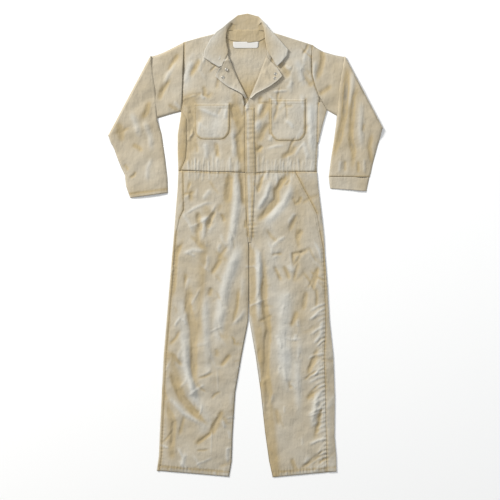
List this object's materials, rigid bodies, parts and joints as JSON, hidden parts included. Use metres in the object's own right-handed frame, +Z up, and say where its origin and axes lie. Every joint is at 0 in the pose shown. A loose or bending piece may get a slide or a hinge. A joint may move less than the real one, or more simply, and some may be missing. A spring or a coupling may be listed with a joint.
{
  "type": "boiler suit",
  "caption": "Long-sleeved one-piece boiler suit of khaki work twill, laid out flat with the sleeves folded back, patch chest pockets, snap front and gathered waist.",
  "frame": {"origin": "centre of the bounding box, at the surface that the suit lies on", "axes": "+Z up from the surface, out of the suit's front; +Y towards the collar; +X to the wearer's left"},
  "size_m": [0.9214, 1.554, 0.009],
  "materials": {
    "khaki_twill": "matt washed cotton and polyester twill",
    "label_cloth": "smooth white woven tape, blank",
    "snap_metal": "dull worn metal snap cap"
  },
  "bodies": {
    "root": {"back_bodice": "khaki_twill", "front_bodice_left": "khaki_twill", "front_bodice_right": "khaki_twill", "trouser_front_left": "khaki_twill", "trouser_front_right": "khaki_twill", "trouser_back_left": "khaki_twill", "trouser_back_right": "khaki_twill", "fly_placket": "khaki_twill", "lapel_left": "khaki_twill", "lapel_right": "khaki_twill", "collar_stand": "khaki_twill", "collar_fall": "khaki_twill", "sleeve_left": "khaki_twill", "sleeve_right": "khaki_twill", "cuff_left": "khaki_twill", "chest_pocket_left": "khaki_twill", "chest_pocket_right": "khaki_twill", "hip_facing_left": "khaki_twill", "hip_facing_right": "khaki_twill", "neck_label": "label_cloth", "snap_left_upper": "snap_metal", "snap_left_lower": "snap_metal", "snap_right_upper": "snap_metal", "snap_right_lower": "snap_metal"}
  },
  "joints": []
}
